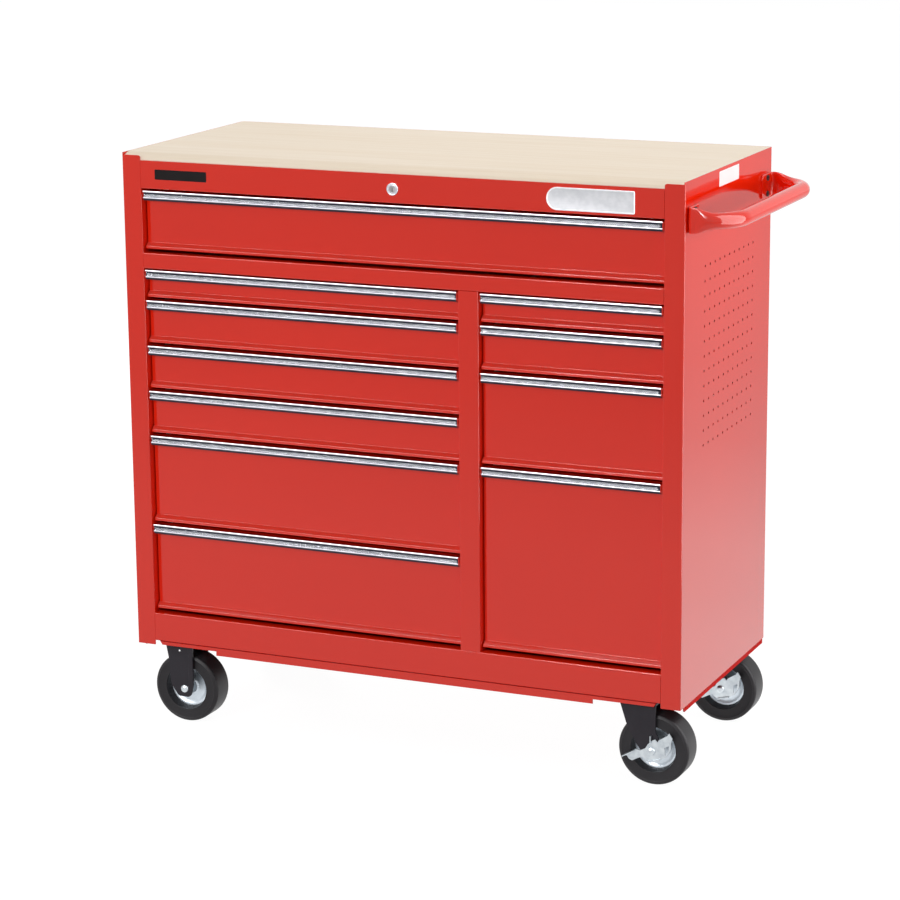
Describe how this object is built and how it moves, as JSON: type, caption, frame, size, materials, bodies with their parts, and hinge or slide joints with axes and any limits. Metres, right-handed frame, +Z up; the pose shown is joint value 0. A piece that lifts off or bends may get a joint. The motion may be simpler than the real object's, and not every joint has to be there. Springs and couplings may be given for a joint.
{
  "type": "rolling tool chest",
  "caption": "Rolling steel tool chest with sliding drawers under chrome pulls, a wooden work top, a tubular push handle, a lock bar and casters.",
  "frame": {"origin": "centre of the bounding box on the floor under the wheels", "axes": "+Z up; the drawer fronts face -Y; +X to the right of someone facing the fronts, towards the side handle"},
  "size_m": [1.13, 0.4594, 1.041],
  "materials": {
    "red_powder_coat": "high-gloss red powder coat on folded steel sheet",
    "chrome_pull": "polished chrome-plated steel",
    "hardwood": "sealed pale hardwood, satin",
    "zinc_steel": "bright zinc-plated steel",
    "black_oxide": "black steel screws",
    "brushed_plate": "fine brushed aluminium, bare",
    "dark_fork_paint": "charcoal semi-gloss paint on stamped steel",
    "tyre_rubber": "solid black rubber, matte",
    "wheel_disc": "light grey painted wheel disc"
  },
  "bodies": {
    "cabinet": {"left_side_panel": "red_powder_coat", "right_side_panel": "red_powder_coat", "back_panel": "red_powder_coat", "top_deck": "red_powder_coat", "lock_rail": "red_powder_coat", "cross_rail": "red_powder_coat", "center_divider": "red_powder_coat", "base_rail": "red_powder_coat", "base_pan": "red_powder_coat", "side_handle": "red_powder_coat", "wood_top": "hardwood", "slide_uprights": "zinc_steel", "slide_channels": "zinc_steel", "lock_guides": "zinc_steel", "caster_bolts": "zinc_steel", "rigid_axles": "zinc_steel", "swivel_plates": "zinc_steel", "handle_screws": "black_oxide", "lock_housing": "chrome_pull", "name_plate": "brushed_plate", "rigid_forks": "dark_fork_paint"},
    "drawer_top": {"drawer_top_box": "red_powder_coat", "drawer_top_pull": "chrome_pull"},
    "drawer_left_1": {"drawer_left_1_box": "red_powder_coat", "drawer_left_1_pull": "chrome_pull"},
    "drawer_left_2": {"drawer_left_2_box": "red_powder_coat", "drawer_left_2_pull": "chrome_pull"},
    "drawer_left_3": {"drawer_left_3_box": "red_powder_coat", "drawer_left_3_pull": "chrome_pull"},
    "drawer_left_4": {"drawer_left_4_box": "red_powder_coat", "drawer_left_4_pull": "chrome_pull"},
    "drawer_left_5": {"drawer_left_5_box": "red_powder_coat", "drawer_left_5_pull": "chrome_pull"},
    "drawer_left_6": {"drawer_left_6_box": "red_powder_coat", "drawer_left_6_pull": "chrome_pull"},
    "drawer_right_1": {"drawer_right_1_box": "red_powder_coat", "drawer_right_1_pull": "chrome_pull"},
    "drawer_right_2": {"drawer_right_2_box": "red_powder_coat", "drawer_right_2_pull": "chrome_pull"},
    "drawer_right_3": {"drawer_right_3_box": "red_powder_coat", "drawer_right_3_pull": "chrome_pull"},
    "drawer_right_4": {"drawer_right_4_box": "red_powder_coat", "drawer_right_4_pull": "chrome_pull"},
    "lock": {"lock_plug": "zinc_steel", "lock_rod": "zinc_steel"},
    "lock_bar": {"lock_bar": "zinc_steel"},
    "caster_front_right": {"swivel_fork_front": "dark_fork_paint", "swivel_axle_front": "zinc_steel"},
    "brake_front": {"brake_lever_front": "zinc_steel"},
    "wheel_front_left": {"tyre_front_left": "tyre_rubber", "hub_front_left": "wheel_disc"},
    "wheel_front_right": {"tyre_front_right": "tyre_rubber", "hub_front_right": "wheel_disc"},
    "caster_rear_right": {"swivel_fork_rear": "dark_fork_paint", "swivel_axle_rear": "zinc_steel"},
    "brake_rear": {"brake_lever_rear": "zinc_steel"},
    "wheel_rear_left": {"tyre_rear_left": "tyre_rubber", "hub_rear_left": "wheel_disc"},
    "wheel_rear_right": {"tyre_rear_right": "tyre_rubber", "hub_rear_right": "wheel_disc"}
  },
  "joints": [
    {"name": "drawer_top_slide", "type": "slide", "parent": "cabinet", "child": "drawer_top", "axis": [0, -1, 0], "range_m": [0, 0.3]},
    {"name": "drawer_left_1_slide", "type": "slide", "parent": "cabinet", "child": "drawer_left_1", "axis": [0, -1, 0], "range_m": [0, 0.3]},
    {"name": "drawer_left_2_slide", "type": "slide", "parent": "cabinet", "child": "drawer_left_2", "axis": [0, -1, 0], "range_m": [0, 0.3]},
    {"name": "drawer_left_3_slide", "type": "slide", "parent": "cabinet", "child": "drawer_left_3", "axis": [0, -1, 0], "range_m": [0, 0.3]},
    {"name": "drawer_left_4_slide", "type": "slide", "parent": "cabinet", "child": "drawer_left_4", "axis": [0, -1, 0], "range_m": [0, 0.3]},
    {"name": "drawer_left_5_slide", "type": "slide", "parent": "cabinet", "child": "drawer_left_5", "axis": [0, -1, 0], "range_m": [0, 0.3]},
    {"name": "drawer_left_6_slide", "type": "slide", "parent": "cabinet", "child": "drawer_left_6", "axis": [0, -1, 0], "range_m": [0, 0.3]},
    {"name": "drawer_right_1_slide", "type": "slide", "parent": "cabinet", "child": "drawer_right_1", "axis": [0, -1, 0], "range_m": [0, 0.3]},
    {"name": "drawer_right_2_slide", "type": "slide", "parent": "cabinet", "child": "drawer_right_2", "axis": [0, -1, 0], "range_m": [0, 0.3]},
    {"name": "drawer_right_3_slide", "type": "slide", "parent": "cabinet", "child": "drawer_right_3", "axis": [0, -1, 0], "range_m": [0, 0.3]},
    {"name": "drawer_right_4_slide", "type": "slide", "parent": "cabinet", "child": "drawer_right_4", "axis": [0, -1, 0], "range_m": [0, 0.3]},
    {"name": "lock_turn", "type": "hinge", "parent": "cabinet", "child": "lock", "pos_m": [-0.0445, -0.2275, 1.003], "axis": [0, 1, 0], "range_deg": [0, 90]},
    {"name": "lock_bar_drop", "type": "slide", "parent": "cabinet", "child": "lock_bar", "axis": [0, 0, -1], "range_m": [0, 0.00905]},
    {"name": "caster_front_swivel", "type": "hinge", "parent": "cabinet", "child": "caster_front_right", "pos_m": [0.3855, -0.1825, 0.15], "axis": [0, 0, 1], "continuous": true},
    {"name": "brake_front_press", "type": "hinge", "parent": "caster_front_right", "child": "brake_front", "pos_m": [0.4205, -0.1825, 0.0635], "axis": [0, -1, 0], "range_deg": [0, 14]},
    {"name": "wheel_front_left_spin", "type": "hinge", "parent": "cabinet", "child": "wheel_front_left", "pos_m": [-0.4805, -0.1825, 0.0635], "axis": [0, 1, 0], "continuous": true},
    {"name": "wheel_front_right_spin", "type": "hinge", "parent": "caster_front_right", "child": "wheel_front_right", "pos_m": [0.4205, -0.1825, 0.0635], "axis": [0, 1, 0], "continuous": true},
    {"name": "caster_rear_swivel", "type": "hinge", "parent": "cabinet", "child": "caster_rear_right", "pos_m": [0.3855, 0.1847, 0.15], "axis": [0, 0, 1], "continuous": true},
    {"name": "brake_rear_press", "type": "hinge", "parent": "caster_rear_right", "child": "brake_rear", "pos_m": [0.4205, 0.1847, 0.0635], "axis": [0, -1, 0], "range_deg": [0, 14]},
    {"name": "wheel_rear_left_spin", "type": "hinge", "parent": "cabinet", "child": "wheel_rear_left", "pos_m": [-0.4805, 0.1847, 0.0635], "axis": [0, 1, 0], "continuous": true},
    {"name": "wheel_rear_right_spin", "type": "hinge", "parent": "caster_rear_right", "child": "wheel_rear_right", "pos_m": [0.4205, 0.1847, 0.0635], "axis": [0, 1, 0], "continuous": true}
  ],
  "couplings": [
    {"joint": "lock_turn", "follows": "lock_bar_drop", "rad_per_m": 173.55}
  ]
}
